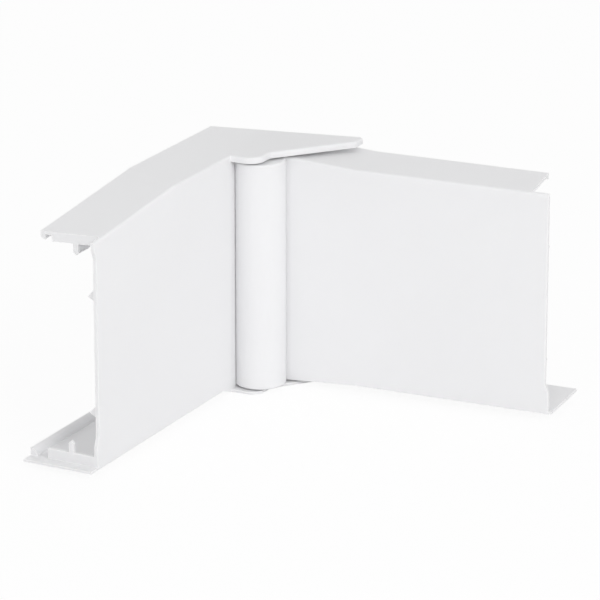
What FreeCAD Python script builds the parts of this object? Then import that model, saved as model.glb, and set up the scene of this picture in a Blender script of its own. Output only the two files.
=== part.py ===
import FreeCAD, Part
import os
from math import asin, cos, pi, radians, sin, sqrt, tan

# Adjustable inside corner for cable trunking: two moulded covers that turn on a round post.
# Origin on the hinge axis at the underside, +Z up. The outer half's wing runs along -Y with the wall
# on its -X side. The inner half's wing leaves the post at the pictured angle from it.
# Each half is drawn in its own wing frame: s runs outward along the wing from the hinge axis,
# w runs from the hinge axis towards the wall, z is up.

V = FreeCAD.Vector

# Pose
rest_angle = 94.0          # angle between the two faces as pictured, degrees
square_angle = 90.0        # angle at which the wings are square to each other, degrees

# Main sizes, mm
cover_height = 109.0       # outside height of the inner half at its free end
face_offset = 7.7          # hinge axis to the outside of each face
outer_face_end = 142.8     # hinge axis to the free end of the outer face, along the wing
inner_face_end = 146.0     # the same for the inner face
face_wall = 1.8            # thickness of the faces and of the post
top_depth = 32.5           # depth of the top plates, from the face's outside
floor_depth = 36.0         # depth of the floor plates, which reach the wall
plate_end = 135.5          # hinge axis to the free end of the top plates
inner_plate_skew = 3.2     # how much shorter the inner top plate is at its rear edge
outer_floor_end = 149.0    # hinge axis to the free end of the floor plates
inner_floor_end = 147.6
post_radius = 12.5         # outside of the round post

# Plates
roof_thickness = 1.5
inner_thickness = 1.4
floor_thickness = 1.2

# Levels of the nested plates at the hinge, mm
floor_gap = 0.7            # outer floor to the underside of the post
inner_drop = 2.1           # the inner half widens downward by this at the post
inner_rise = 2.3           # the inner half widens upward by this at the post
inner_flare_end = 45.0     # along the wing, where the inner half has its plain height again
lip_gap = 1.2              # top of the inner half to the lower edge of the roof's lip
lip_height = 3.0           # roof lip, with the roof's thickness
lip_width = 1.5
outer_floor_rise = 3.2     # step up from the outer half's sector floor to its wing floor
step_start = 15.0          # along the wing, where that step begins and ends
step_end = 24.0

# Roof of the outer half
crease_front = 70.0        # fold between the level roof and its ramp, along the wing at the face
crease_back = 54.0         # the same fold at the rear edge
ramp_drop = 6.4            # the ramp's fall from the fold to its free end, at the face
nose_clear = 2.2           # roof edge in front of the post
nose_side = 6.4            # roof edge beside the hinge axis
nose_radius = 7.5
neck_radius = 5.0
neck_place = 1.75          # along the first wing, where the sector's long free edge starts
sector_reach = 34.6        # hinge axis to the end of the sector, square to the first wing
tip_width = 9.0            # width of the sector's end before its corners are rounded
rear_skew = 13.0           # angle of the sector's rear edge from the first wing's normal
rear_start = 25.4          # hinge axis to the sector's rear corner, along the first wall
tip_radius = 2.0

# Hinge
pin_radius = 3.0
pin_clearance = 0.08
pin_past_cap = 1.5         # the pin's length beyond the post's end cap
pin_chamfer = 0.6
boss_radius = 4.6
boss_clearance = 0.3       # boss face to end cap
cap_thickness = 2.0
turn_clearance = 0.2       # outer face's inner end to the post
post_wrap = 210.0          # how far the post's wall runs round the axis, degrees
bend_place = 14.5          # along the wing, where the outer face turns back to the post
bend_angle = 8.0
bend_radius = 40.0
bend_length = 6.0

# Rails, ribs and clips
roof_rail = 2.4            # quarter-round lip under the roof's rear edge
top_plate_rail = 1.4       # the same under the inner half's top plate
floor_rail = 3.6           # quarter-round rail at the rear edge of the floors
rail_root = 0.7            # how far a rail is sunk into its plate
outer_rail_end = 142.8     # hinge axis to the free end of the outer floor's rail and rib
inner_rail_end = 130.0     # the same on the inner half, where both stay hidden behind the face
rail_start = 30.0
rib_thickness = 1.6
floor_rib_height = 4.9
top_rib_height = 3.0
rib_reach = 26.6           # how far the end ribs run back from the face's outside
upright_place = 14.1       # centre of the small upright on each rib, from the face's outside
upright_width = 2.6
floor_upright_height = 10.8
top_upright_height = 8.4
top_upright_length = 11.0  # the upper uprights are the ends of short blades along the wing
clip_spread = 28.0         # clips above and below the middle of the height
clip_height = 6.0
clip_nose = 2.2            # height of a clip's point above its lower end
clip_reach = 3.8
clip_length = 2.5
clip_inset = 1.0           # relieved end of the face to the clips
end_relief = 1.75          # shallow relief in a face's free end, clear of its corners
low_corner = 15.0          # height of the full-length corner at the foot of a face
top_corner = 9.0           # the same at the top of the outer face
relief_blend = 5.0

# Edge rounding
face_edge_round = 1.4
roof_edge_round = 1.2
post_edge_round = 0.9

FAR = 400.0                # larger than the part, for blocks that only trim

# Levels worked out from the sizes above
floor_top = floor_thickness
post_foot = floor_top + floor_gap
inner_bottom = post_foot + inner_drop
inner_top = inner_bottom + cover_height
post_head = inner_top + inner_rise
lip_bottom = post_head + lip_gap
roof_top = lip_bottom + lip_height
mid_height = (inner_bottom + inner_top) / 2
post_crease = sqrt(post_radius ** 2 - face_offset ** 2)
top_back = face_offset + top_depth
floor_back = face_offset + floor_depth
face_inside = face_offset + face_wall


def prism(points, low, high):
    """Straight-sided solid over a plan polygon of (s, w) points."""
    corners = [V(s, w, low) for s, w in points]
    return Part.Face(Part.makePolygon(corners + corners[:1])).extrude(V(0, 0, high - low))


def plate_across(points, start, end):
    """Solid with a (w, z) section, running along the wing from start to end."""
    corners = [V(start, w, z) for w, z in points]
    return Part.Face(Part.makePolygon(corners + corners[:1])).extrude(V(end - start, 0, 0))


def rounded_wire(corners, level):
    """Closed plan wire through (s, w, radius) corners, each rounded by an arc."""
    tangents = []
    for i, (s, w, radius) in enumerate(corners):
        here = V(s, w, level)
        back = V(corners[i - 1][0], corners[i - 1][1], level) - here
        ahead_corner = corners[(i + 1) % len(corners)]
        ahead = V(ahead_corner[0], ahead_corner[1], level) - here
        back.normalize()
        ahead.normalize()
        half = back.getAngle(ahead) / 2
        cut = radius / tan(half)
        centre_way = (back + ahead).normalize()
        middle = here + centre_way * (radius / sin(half) - radius)
        tangents.append((here + back * cut, middle, here + ahead * cut, radius))
    edges = []
    for i, (first, middle, last, radius) in enumerate(tangents):
        if radius > 0:
            edges.append(Part.Arc(first, middle, last).toShape())
        following = tangents[(i + 1) % len(tangents)][0]
        edges.append(Part.makeLine(last, following))
    return Part.Wire(edges)


def rounded_prism(corners, low, high):
    return Part.Face(rounded_wire(corners, low)).extrude(V(0, 0, high - low))


def folded_block(profile, origin, across, along):
    """Block with a folded top or bottom: an (n, z) profile, n along across, swept along both ways."""
    corners = [origin + across * n + V(0, 0, z) - along * FAR for n, z in profile]
    return Part.Face(Part.makePolygon(corners + corners[:1])).extrude(along * (2 * FAR))


def upper_skin(block, thickness):
    return block.cut(block.translated(V(0, 0, -thickness)))


def lower_skin(block, thickness):
    return block.cut(block.translated(V(0, 0, thickness)))


def quarter_rail(back, start, end, radius, side):
    """Quarter-round rail inside a plate's rear edge; side is 1 above a floor and -1 below a roof."""
    s, z = start
    front = V(s, back - radius, z)
    rear = V(s, back, z)
    centre = rear if side > 0 else front
    level_end = front if side > 0 else rear
    tip = centre + V(0, 0, side * radius)
    bulge = centre + V(0, -side * radius * cos(pi / 4), side * radius * sin(pi / 4))
    root = V(0, 0, -side * rail_root)
    edges = [
        Part.makeLine(centre + root, level_end + root),
        Part.makeLine(level_end + root, level_end),
        Part.Arc(level_end, bulge, tip).toShape(),
        Part.makeLine(tip, centre + root),
    ]
    return Part.Face(Part.Wire(edges)).extrude(V(end[0] - s, 0, end[1] - z))


def edges_near(shape, test):
    """Edges whose two ends and middle all pass the test."""
    chosen = []
    for edge in shape.Edges:
        first, last = edge.ParameterRange
        points = [edge.valueAt(first), edge.valueAt((first + last) / 2), edge.valueAt(last)]
        if all(test(point) for point in points):
            chosen.append(edge)
    return chosen


def relieved_end(end, low, high):
    """What is cut from a face's free end between two heights, with slanting ends."""
    far = end + 1
    near = end - end_relief
    points = [(far, low), (end, low), (near, low + relief_blend)]
    points += [(near, high - relief_blend), (end, high), (far, high)]
    corners = [V(s, face_offset - 1, z) for s, z in points]
    return Part.Face(Part.makePolygon(corners + corners[:1])).extrude(V(0, face_wall + 2, 0))


def end_rib(skin, end):
    """Low rib across a wing's end, taken from a skin as deep as the rib."""
    start = end - rib_thickness
    front = face_inside - face_wall / 2
    rear = face_offset + rib_reach
    return skin.common(prism([(start, front), (end, front), (end, rear), (start, rear)], -FAR, FAR))


def end_upright(root, tip, end, length):
    """Small pointed upright at a wing's end; it stands on the floor or hangs from the top plate."""
    middle = face_offset + upright_place
    half = upright_width / 2
    shoulder = tip - half if tip > root else tip + half
    section = [(middle - half, root), (middle + half, root), (middle + half, shoulder)]
    section += [(middle, tip), (middle - half, shoulder)]
    return plate_across(section, end - length, end)


def clips(face_end):
    """Two snap hooks behind a face near its free end."""
    root = face_inside - face_wall / 2
    far = face_end - end_relief - clip_inset
    hooks = []
    for centre in (mid_height + clip_spread, mid_height - clip_spread):
        low = centre - clip_height / 2
        high = centre + clip_height / 2
        point = (face_inside + clip_reach, low + clip_nose)
        section = [(root, low), (face_inside, low), point, (face_inside, high), (root, high)]
        hooks.append(plate_across(section, far - clip_length, far))
    return hooks


def fused(parts):
    return parts[0].multiFuse(parts[1:]).removeSplitter()


# Inner half

def inner_under_top():
    profile = [(-FAR, -FAR), (-FAR, post_head), (post_crease, post_head), (inner_flare_end, inner_top)]
    return folded_block(profile + [(FAR, inner_top), (FAR, -FAR)], V(0, 0, 0), V(1, 0, 0), V(0, 1, 0))


def inner_above_floor():
    profile = [(-FAR, FAR), (-FAR, post_foot), (post_crease, post_foot), (inner_flare_end, inner_bottom)]
    return folded_block(profile + [(FAR, inner_bottom), (FAR, FAR)], V(0, 0, 0), V(1, 0, 0), V(0, 1, 0))


def post_shell():
    """The round post: a C-shaped wall that starts at the face and runs round the front."""
    start = asin(face_inside / post_radius)
    turn = radians(post_wrap)
    inner_radius = post_radius - face_wall

    def at(radius, angle):
        return V(radius * cos(angle), radius * sin(angle), post_foot)

    angles = (start, start - turn / 2, start - turn)
    outer_arc = Part.Arc(*[at(post_radius, angle) for angle in angles]).toShape()
    inner_arc = Part.Arc(*[at(inner_radius, angle) for angle in reversed(angles)]).toShape()
    far_side = Part.makeLine(at(post_radius, angles[2]), at(inner_radius, angles[2]))
    near_side = Part.makeLine(at(inner_radius, angles[0]), at(post_radius, angles[0]))
    wire = Part.Wire([outer_arc, far_side, inner_arc, near_side])
    return Part.Face(wire).extrude(V(0, 0, post_head - post_foot))


def post_caps():
    low = Part.makeCylinder(post_radius, cap_thickness, V(0, 0, post_foot))
    high = Part.makeCylinder(post_radius, cap_thickness, V(0, 0, post_head - cap_thickness))
    return [low, high]


def hinge_end(skin, back):
    """The end of a plate that runs under the sector, as far as the post's far side."""
    outline = [(-post_radius, 0), (0, 0), (post_crease, face_offset), (post_crease, back), (-post_radius, back)]
    return skin.common(prism(outline, -FAR, FAR))


def wing_block(under_top):
    """Everything behind the inner face and under its top, with the long front edge rounded."""
    outline = [(post_crease, face_offset), (FAR, face_offset), (FAR, FAR), (post_crease, FAR)]
    block = under_top.common(prism(outline, -FAR, FAR))

    def on_front_top(point):
        return abs(point.y - face_offset) < 0.01 and point.z > inner_top - 0.01

    return block.makeFillet(face_edge_round, edges_near(block, on_front_top))


def wing_part(solid, end, back, skew=0.0):
    outline = [(0, face_offset), (end, face_offset), (end - skew, back), (0, back)]
    return solid.common(prism(outline, -FAR, FAR))


def inner_rails():
    under = inner_top - inner_thickness
    over = inner_bottom + floor_thickness
    lip_end = plate_end - inner_plate_skew
    lip = quarter_rail(top_back, (inner_flare_end, under), (lip_end, under), top_plate_rail, -1)
    rail = quarter_rail(floor_back, (inner_flare_end, over), (inner_rail_end, over), floor_rail, 1)
    return [lip, rail]


def inner_ribs(under_top, above_floor):
    over = inner_bottom + floor_thickness
    under = inner_top - inner_thickness
    middle = under + inner_thickness / 2
    return [
        end_rib(lower_skin(above_floor, floor_thickness + floor_rib_height), inner_rail_end),
        end_upright(inner_bottom, over + floor_upright_height, inner_rail_end, rib_thickness),
        end_rib(upper_skin(under_top, inner_thickness + top_rib_height), inner_rail_end),
        end_upright(middle, under - top_upright_height, inner_rail_end, top_upright_length),
    ]


def rounded_post():
    """The post's outer form, with its end edges rounded; the walls and caps are kept inside it."""
    post = Part.makeCylinder(post_radius, post_head - post_foot, V(0, 0, post_foot))
    return post.makeFillet(post_edge_round, [edge for edge in post.Edges if len(edge.Vertexes) == 1])


def make_inner_half():
    under_top = inner_under_top()
    above_floor = inner_above_floor()
    block = wing_block(under_top)
    floor = lower_skin(above_floor, floor_thickness)
    face = wing_part(block.common(above_floor), inner_face_end, face_inside)
    face = face.cut(relieved_end(inner_face_end, inner_bottom + low_corner - relief_blend, FAR))
    parts = [face, wing_part(upper_skin(block, inner_thickness), plate_end, top_back, inner_plate_skew)]
    parts.append(hinge_end(upper_skin(under_top, inner_thickness), top_back))
    parts += [wing_part(floor, inner_floor_end, floor_back), hinge_end(floor, floor_back)]
    parts += [fused([post_shell()] + post_caps()).common(rounded_post())]
    parts += inner_rails() + inner_ribs(under_top, above_floor) + clips(inner_face_end)
    body = fused(parts).cut(Part.makeCylinder(pin_radius + pin_clearance, FAR))
    return body.rotated(V(0, 0, 0), V(0, 0, 1), rest_angle - square_angle)


# Outer half

def ramp_frame():
    """A point on the roof's fold, the way along the fold, the way down the ramp and its fall per mm."""
    front = V(crease_front, face_offset, 0)
    along = (V(crease_back, top_back, 0) - front).normalize()
    down = V(along.y, -along.x, 0)
    fall = ramp_drop / ((plate_end - crease_front) * down.x)
    return front, along, down, fall


def roof_level(s, w):
    """Height of the roof's top surface."""
    front, along, down, fall = ramp_frame()
    return roof_top - fall * max(0.0, (V(s, w, 0) - front).dot(down))


def outer_under_top():
    """Everything under the roof: level over the hinge, then a plane ramp beyond a slanting fold."""
    front, along, down, fall = ramp_frame()
    profile = [(-FAR, -FAR), (-FAR, roof_top), (0, roof_top), (FAR, roof_top - fall * FAR), (FAR, -FAR)]
    return folded_block(profile, front, down, along)


def outer_above_floor():
    """Everything over the outer floor, which steps up from the sector to the wing."""
    profile = [(-FAR, FAR), (-FAR, 0), (step_start, 0), (step_end, outer_floor_rise)]
    profile += [(FAR, outer_floor_rise), (FAR, FAR)]
    return folded_block(profile, V(0, 0, 0), V(1, 0, 0), V(0, 1, 0))


def sector_corners(front, back, end):
    """Plan of an outer plate: the wing, the nose over the post and the sector over the inner half."""
    nose = post_radius + nose_clear
    rear_end = -rear_start - (back + sector_reach) * tan(radians(rear_skew))
    return [
        (end, front, 0.0),
        (nose, front, 0.0),
        (nose, -nose_side, nose_radius),
        (neck_place, -nose_side, neck_radius),
        (rear_end + tip_width, -sector_reach, tip_radius),
        (rear_end, -sector_reach, tip_radius),
        (-rear_start, back, 0.0),
        (end, back, 0.0),
    ]


def roof_lip(corners, under_top):
    """Lip that hangs from the roof's free edge, from the face round the nose to the tip."""
    plate = rounded_prism(corners, lip_bottom, FAR)
    rim = plate.cut(plate.translated(V(-lip_width, lip_width, 0)))
    return rim.common(under_top)


def outer_face(under_top, above_floor):
    """Face of the outer half; its inner end turns back to the post and stays just clear of it."""
    turn = radians(bend_angle)
    way = V(-cos(turn), sin(turn), 0)
    inward = V(sin(turn), cos(turn), 0)
    end = V(bend_place, face_offset, 0) + way * bend_length
    inner_end = end + inward * face_wall
    corners = [
        (outer_face_end, face_offset, 0.0),
        (bend_place, face_offset, bend_radius),
        (end.x, end.y, 0.0),
        (inner_end.x, inner_end.y, 0.0),
        (bend_place + face_wall * tan(turn / 2), face_inside, bend_radius - face_wall),
        (outer_face_end, face_inside, 0.0),
    ]
    wall = rounded_prism(corners, 0, FAR).common(under_top).common(above_floor)
    relief_low = inner_bottom + low_corner - relief_blend
    relief_high = inner_top - top_corner + relief_blend
    wall = wall.cut(relieved_end(outer_face_end, relief_low, relief_high))
    return wall.cut(Part.makeCylinder(post_radius + turn_clearance, FAR, V(0, 0, -FAR / 2)))


def outer_rails():
    over = outer_floor_rise + floor_thickness
    rail = quarter_rail(floor_back, (rail_start, over), (outer_rail_end, over), floor_rail, 1)
    under = roof_top - roof_thickness
    fold = (crease_back, under)
    end = (plate_end, roof_level(plate_end, top_back) - roof_thickness)
    level_lip = quarter_rail(top_back, (rail_start, under), fold, roof_rail, -1)
    ramp_lip = quarter_rail(top_back, fold, end, roof_rail, -1)
    return [rail, level_lip, ramp_lip]


def outer_ribs(under_top, above_floor):
    over = outer_floor_rise + floor_thickness
    under = roof_level(plate_end, face_offset + upright_place) - roof_thickness
    hanging = end_upright(roof_top, under - top_upright_height, plate_end, top_upright_length)
    return [
        end_rib(lower_skin(above_floor, floor_thickness + floor_rib_height), outer_rail_end),
        end_upright(outer_floor_rise, over + floor_upright_height, outer_rail_end, rib_thickness),
        end_rib(upper_skin(under_top, roof_thickness + top_rib_height), plate_end),
        hanging.common(under_top),
    ]


def hinge_pins():
    """Two pins on the hinge axis, each on a boss that keeps the sector off the post."""
    roof_under = roof_top - roof_thickness
    upper_end = post_head - cap_thickness - pin_past_cap
    lower_end = post_foot + cap_thickness + pin_past_cap
    upper = Part.makeCylinder(pin_radius, roof_under - upper_end, V(0, 0, upper_end))
    lower = Part.makeCylinder(pin_radius, lower_end - floor_top, V(0, 0, floor_top))
    upper_boss_low = post_head + boss_clearance
    lower_boss_high = post_foot - boss_clearance
    upper_boss = Part.makeCylinder(boss_radius, roof_under - upper_boss_low, V(0, 0, upper_boss_low))
    lower_boss = Part.makeCylinder(boss_radius, lower_boss_high - floor_top, V(0, 0, floor_top))
    return [with_tip_chamfer(upper, upper_end), with_tip_chamfer(lower, lower_end), upper_boss, lower_boss]


def with_tip_chamfer(pin, level):
    return pin.makeChamfer(pin_chamfer, edges_near(pin, lambda point: abs(point.z - level) < 0.01))


def round_roof_edge(body):
    """Softens the roof's front edge, from the wing's end round the nose to the sector's tip."""
    def on_front_edge(point):
        on_roof = abs(point.z - roof_level(point.x, point.y)) < 0.01
        return on_roof and point.y < face_offset + 0.01

    return body.makeFillet(roof_edge_round, edges_near(body, on_front_edge))


def make_outer_half():
    under_top = outer_under_top()
    above_floor = outer_above_floor()
    roof_corners = sector_corners(face_offset, top_back, plate_end)
    floor_corners = sector_corners(face_offset, floor_back, outer_floor_end)
    roof = upper_skin(under_top, roof_thickness).common(rounded_prism(roof_corners, 0, FAR))
    floor = lower_skin(above_floor, floor_thickness).common(rounded_prism(floor_corners, -1, FAR))
    parts = [outer_face(under_top, above_floor), roof, floor, roof_lip(roof_corners, under_top)]
    parts += outer_rails() + outer_ribs(under_top, above_floor) + clips(outer_face_end) + hinge_pins()
    body = round_roof_edge(fused(parts))
    return body.mirror(V(0, 0, 0), V(1, 1, 0))


def main():
    os.makedirs("parts", exist_ok=True)
    make_inner_half().exportStep("parts/inner_half.step")
    make_outer_half().exportStep("parts/outer_half.step")


main()
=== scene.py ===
import bpy
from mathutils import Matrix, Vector


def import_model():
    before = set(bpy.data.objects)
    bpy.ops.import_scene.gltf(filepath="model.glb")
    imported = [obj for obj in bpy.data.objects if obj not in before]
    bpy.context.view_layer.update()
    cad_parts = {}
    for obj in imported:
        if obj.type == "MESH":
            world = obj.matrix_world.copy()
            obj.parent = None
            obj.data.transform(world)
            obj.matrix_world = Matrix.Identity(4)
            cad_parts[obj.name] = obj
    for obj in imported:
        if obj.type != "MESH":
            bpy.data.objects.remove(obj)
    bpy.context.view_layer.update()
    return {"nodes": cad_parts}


MM = 0.001

# The camera found from the photo: where it stands, the way it looks and its lens.
CAMERA_AT = (0.8759, -1.6256, 0.6725)
CAMERA_LOOKS = (-0.4406, 0.8380, -0.3221)
LENS_MM = 242.1
SENSOR_MM = 36.0
SHIFT = 0.0017
CLIP_NEAR = 0.01
CLIP_FAR = 20.0

# The white of the plastic, with faint clouding.
WHITE = (0.86, 0.86, 0.87)
CLOUD_SHADE = 0.985            # the darker clouds, as a share of the white
CLOUD_FROM = 0.3
CLOUD_TO = 0.7
CLOUD_SCALE = 14.0
CLOUD_DETAIL = 3.0
SEED_WAY = (1.0, 0.7, 1.3)     # the way a seed moves the noise
OUTER_SEED = 0.0
INNER_SEED = 3.1

# Painted highlight on the edges: the white goes over to the lighter highlight white below wherever the
# surface turns within the radius below, at convex edges and in concave corners alike.
PAINTED_HIGHLIGHT_REACH_MM = 1.0
# The white of the painted edge highlight.
PAINTED_EDGE_HIGHLIGHT = (0.94, 0.94, 0.94)
EDGE_SAMPLES = 8
FLAT_AGREEMENT = 0.99          # cosine between the true and the softened normal on the flat
EDGE_AGREEMENT = 0.85          # the same where the edge is at its lightest

# Gloss, and the little light that passes under the surface.
ROUGHNESS_LOW = 0.42
ROUGHNESS_HIGH = 0.54
PLASTIC_IOR = 1.5
PLASTIC_SPECULAR = 0.3
UNDER_SURFACE_SHARE = 0.35
UNDER_SURFACE_MM = 2.0
UNDER_SURFACE_COLOURS = (1.0, 1.0, 1.0)   # all colours pass equally far

# The moulded grain and the soft flow ripples.
GRAIN_SCALE = 2600.0
GRAIN_DETAIL = 2.0
GRAIN_STRENGTH = 0.12
GRAIN_DEPTH_MM = 0.05
FLOW_SCALE = 30.0
FLOW_DETAIL = 1.0
FLOW_STRENGTH = 0.15
FLOW_DEPTH_MM = 0.12

# Floor and world; lengths in metres.
FLOOR_SIZE = 8.0
FLOOR_LEVEL = -0.0002
FLOOR_WHITE = (0.98, 0.98, 0.98)
FLOOR_ROUGHNESS = 0.9
FLOOR_GLOW = 0.93              # share of the floor that is seen as plain white; the rest shows the shadow
WORLD_LIGHT = 0.62
PLAIN_WHITE = (1, 1, 1, 1)

# Lamps: name, place and side of the square in metres, and watts. All point at the middle of the part.
LAMPS_AIM = (0.04, -0.04, 0.05)
LAMPS = (
    ("key", (1.35, -0.75, 1.1), 1.0, 10.1),
    ("fill", (0.3, -1.6, 0.6), 0.9, 3.4),
    ("back", (-1.2, 1.1, 0.3), 0.8, 1.8),
)


def new_material(name):
    material = bpy.data.materials.new(name)
    material.use_nodes = True
    return material, material.node_tree.nodes, material.node_tree.links


def shifted_place(nodes, links, seed):
    """The place on the object, moved by the seed so that the two halves are clouded differently."""
    place = nodes.new("ShaderNodeTexCoord")
    shifted = nodes.new("ShaderNodeMapping")
    shifted.inputs["Location"].default_value = [seed * share for share in SEED_WAY]
    links.new(place.outputs["Object"], shifted.inputs["Vector"])
    return shifted.outputs["Vector"]


def noise(nodes, links, place, scale, detail):
    texture = nodes.new("ShaderNodeTexNoise")
    texture.inputs["Scale"].default_value = scale
    texture.inputs["Detail"].default_value = detail
    links.new(place, texture.inputs["Vector"])
    return texture.outputs["Fac"]


def clouded_white(nodes, links, cloud):
    tone = nodes.new("ShaderNodeValToRGB")
    shade, plain = tone.color_ramp.elements
    shade.position = CLOUD_FROM
    shade.color = (*[part * CLOUD_SHADE for part in WHITE], 1)
    plain.position = CLOUD_TO
    plain.color = (*WHITE, 1)
    links.new(cloud, tone.inputs["Fac"])
    return tone.outputs["Color"]


def painted_highlight_mask(nodes, links):
    """1 on a sharp edge and 0 on the flat, from how far the softened normal leaves the true one; this is
    where the painted edge highlight goes.
    """
    softened = nodes.new("ShaderNodeBevel")
    softened.samples = EDGE_SAMPLES
    softened.inputs["Radius"].default_value = PAINTED_HIGHLIGHT_REACH_MM * MM
    surface = nodes.new("ShaderNodeNewGeometry")
    agree = nodes.new("ShaderNodeVectorMath")
    agree.operation = "DOT_PRODUCT"
    links.new(softened.outputs["Normal"], agree.inputs[0])
    links.new(surface.outputs["Normal"], agree.inputs[1])
    edge = nodes.new("ShaderNodeMapRange")
    edge.inputs["From Min"].default_value = FLAT_AGREEMENT
    edge.inputs["From Max"].default_value = EDGE_AGREEMENT
    links.new(agree.outputs["Value"], edge.inputs["Value"])
    return edge.outputs["Result"]


# Paints a highlight into the base colour along edges and corners.
def with_painted_edge_highlight(nodes, links, tone):
    painted_highlight = nodes.new("ShaderNodeMix")
    painted_highlight.data_type = "RGBA"
    painted_highlight.inputs["B"].default_value = (*PAINTED_EDGE_HIGHLIGHT, 1)
    links.new(painted_highlight_mask(nodes, links), painted_highlight.inputs["Factor"])
    links.new(tone, painted_highlight.inputs["A"])
    return painted_highlight.outputs["Result"]


def satin(nodes, links, cloud):
    gloss = nodes.new("ShaderNodeMapRange")
    gloss.inputs["To Min"].default_value = ROUGHNESS_LOW
    gloss.inputs["To Max"].default_value = ROUGHNESS_HIGH
    links.new(cloud, gloss.inputs["Value"])
    return gloss.outputs["Result"]


def bump(nodes, links, height, strength, depth_mm):
    relief = nodes.new("ShaderNodeBump")
    relief.inputs["Strength"].default_value = strength
    relief.inputs["Distance"].default_value = depth_mm * MM
    links.new(height, relief.inputs["Height"])
    return relief


def moulded_relief(nodes, links, place):
    """The fine grain with the wide flow ripples laid over it."""
    grain_noise = noise(nodes, links, place, GRAIN_SCALE, GRAIN_DETAIL)
    grain = bump(nodes, links, grain_noise, GRAIN_STRENGTH, GRAIN_DEPTH_MM)
    flow_noise = noise(nodes, links, place, FLOW_SCALE, FLOW_DETAIL)
    flow = bump(nodes, links, flow_noise, FLOW_STRENGTH, FLOW_DEPTH_MM)
    links.new(grain.outputs["Normal"], flow.inputs["Normal"])
    return flow.outputs["Normal"]


def moulded_white(name, seed):
    """White moulded plastic with a painted highlight on its edges; the seed moves its noise."""
    material, nodes, links = new_material(name)
    shader = nodes["Principled BSDF"]
    place = shifted_place(nodes, links, seed)
    cloud = noise(nodes, links, place, CLOUD_SCALE, CLOUD_DETAIL)
    tone = clouded_white(nodes, links, cloud)
    # The base colour carries the painted edge highlight.
    links.new(with_painted_edge_highlight(nodes, links, tone), shader.inputs["Base Color"])
    links.new(satin(nodes, links, cloud), shader.inputs["Roughness"])
    links.new(moulded_relief(nodes, links, place), shader.inputs["Normal"])
    shader.inputs["Subsurface Weight"].default_value = UNDER_SURFACE_SHARE
    shader.inputs["Subsurface Radius"].default_value = UNDER_SURFACE_COLOURS
    shader.inputs["Subsurface Scale"].default_value = UNDER_SURFACE_MM * MM
    shader.inputs["IOR"].default_value = PLASTIC_IOR
    shader.inputs["Specular IOR Level"].default_value = PLASTIC_SPECULAR
    return material


def dress(node, material):
    node.data.materials.clear()
    node.data.materials.append(material)


def any_ray(nodes, links, kinds):
    """1 for a ray of any of these kinds and 0 for the others."""
    path = nodes.new("ShaderNodeLightPath")
    found = path.outputs[kinds[0]]
    for kind in kinds[1:]:
        either = nodes.new("ShaderNodeMath")
        either.operation = "MAXIMUM"
        links.new(found, either.inputs[0])
        links.new(path.outputs[kind], either.inputs[1])
        found = either.outputs[0]
    return found


def floor_material():
    """Pale floor that the camera sees as white where no shadow lies on it."""
    material, nodes, links = new_material("floor_white")
    shader = nodes["Principled BSDF"]
    shader.inputs["Base Color"].default_value = (*FLOOR_WHITE, 1)
    shader.inputs["Roughness"].default_value = FLOOR_ROUGHNESS
    shader.inputs["Specular IOR Level"].default_value = 0.0
    glow = nodes.new("ShaderNodeEmission")
    glow.inputs["Color"].default_value = PLAIN_WHITE
    glow.inputs["Strength"].default_value = 1.0
    share = nodes.new("ShaderNodeMath")
    share.operation = "MULTIPLY"
    share.inputs[1].default_value = FLOOR_GLOW
    links.new(any_ray(nodes, links, ("Is Camera Ray", "Is Glossy Ray")), share.inputs[0])
    mix = nodes.new("ShaderNodeMixShader")
    links.new(share.outputs[0], mix.inputs["Fac"])
    links.new(shader.outputs["BSDF"], mix.inputs[1])
    links.new(glow.outputs["Emission"], mix.inputs[2])
    links.new(mix.outputs["Shader"], nodes["Material Output"].inputs["Surface"])
    return material


def floor():
    bpy.ops.mesh.primitive_plane_add(size=FLOOR_SIZE, location=(0, 0, FLOOR_LEVEL))
    plane = bpy.context.object
    plane.name = "floor"
    plane.data.materials.append(floor_material())


def world():
    """Even light from all round, and plain white wherever the world itself is seen."""
    scene_world = bpy.data.worlds.new("studio")
    bpy.context.scene.world = scene_world
    scene_world.use_nodes = True
    nodes = scene_world.node_tree.nodes
    links = scene_world.node_tree.links
    lit = nodes["Background"]
    lit.inputs["Color"].default_value = PLAIN_WHITE
    lit.inputs["Strength"].default_value = WORLD_LIGHT
    shown = nodes.new("ShaderNodeBackground")
    shown.inputs["Color"].default_value = PLAIN_WHITE
    shown.inputs["Strength"].default_value = 1.0
    seen = any_ray(nodes, links, ("Is Camera Ray", "Is Glossy Ray", "Is Transmission Ray"))
    mix = nodes.new("ShaderNodeMixShader")
    links.new(seen, mix.inputs["Fac"])
    links.new(lit.outputs["Background"], mix.inputs[1])
    links.new(shown.outputs["Background"], mix.inputs[2])
    links.new(mix.outputs["Shader"], nodes["World Output"].inputs["Surface"])


def turn_towards(way):
    """The rotation of a lamp or camera that looks along a way."""
    return Vector(way).to_track_quat("-Z", "Y").to_euler()


def area_light(name, at, size, watts):
    data = bpy.data.lights.new(name, "AREA")
    data.shape = "SQUARE"
    data.size = size
    data.energy = watts
    lamp = bpy.data.objects.new(name, data)
    lamp.location = at
    lamp.rotation_euler = turn_towards(Vector(LAMPS_AIM) - Vector(at))
    bpy.context.collection.objects.link(lamp)


def camera():
    data = bpy.data.cameras.new("camera")
    data.sensor_width = SENSOR_MM
    data.lens = LENS_MM
    data.shift_x = SHIFT
    data.shift_y = -SHIFT
    data.clip_start = CLIP_NEAR
    data.clip_end = CLIP_FAR
    seen_from = bpy.data.objects.new("camera", data)
    seen_from.location = CAMERA_AT
    seen_from.rotation_euler = turn_towards(CAMERA_LOOKS)
    bpy.context.collection.objects.link(seen_from)
    bpy.context.scene.camera = seen_from


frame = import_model()

dress(frame["nodes"]["outer_half"], moulded_white("outer_plastic", OUTER_SEED))
dress(frame["nodes"]["inner_half"], moulded_white("inner_plastic", INNER_SEED))

floor()
world()
for lamp_settings in LAMPS:
    area_light(*lamp_settings)
camera()
bpy.context.scene.view_settings.view_transform = "Standard"
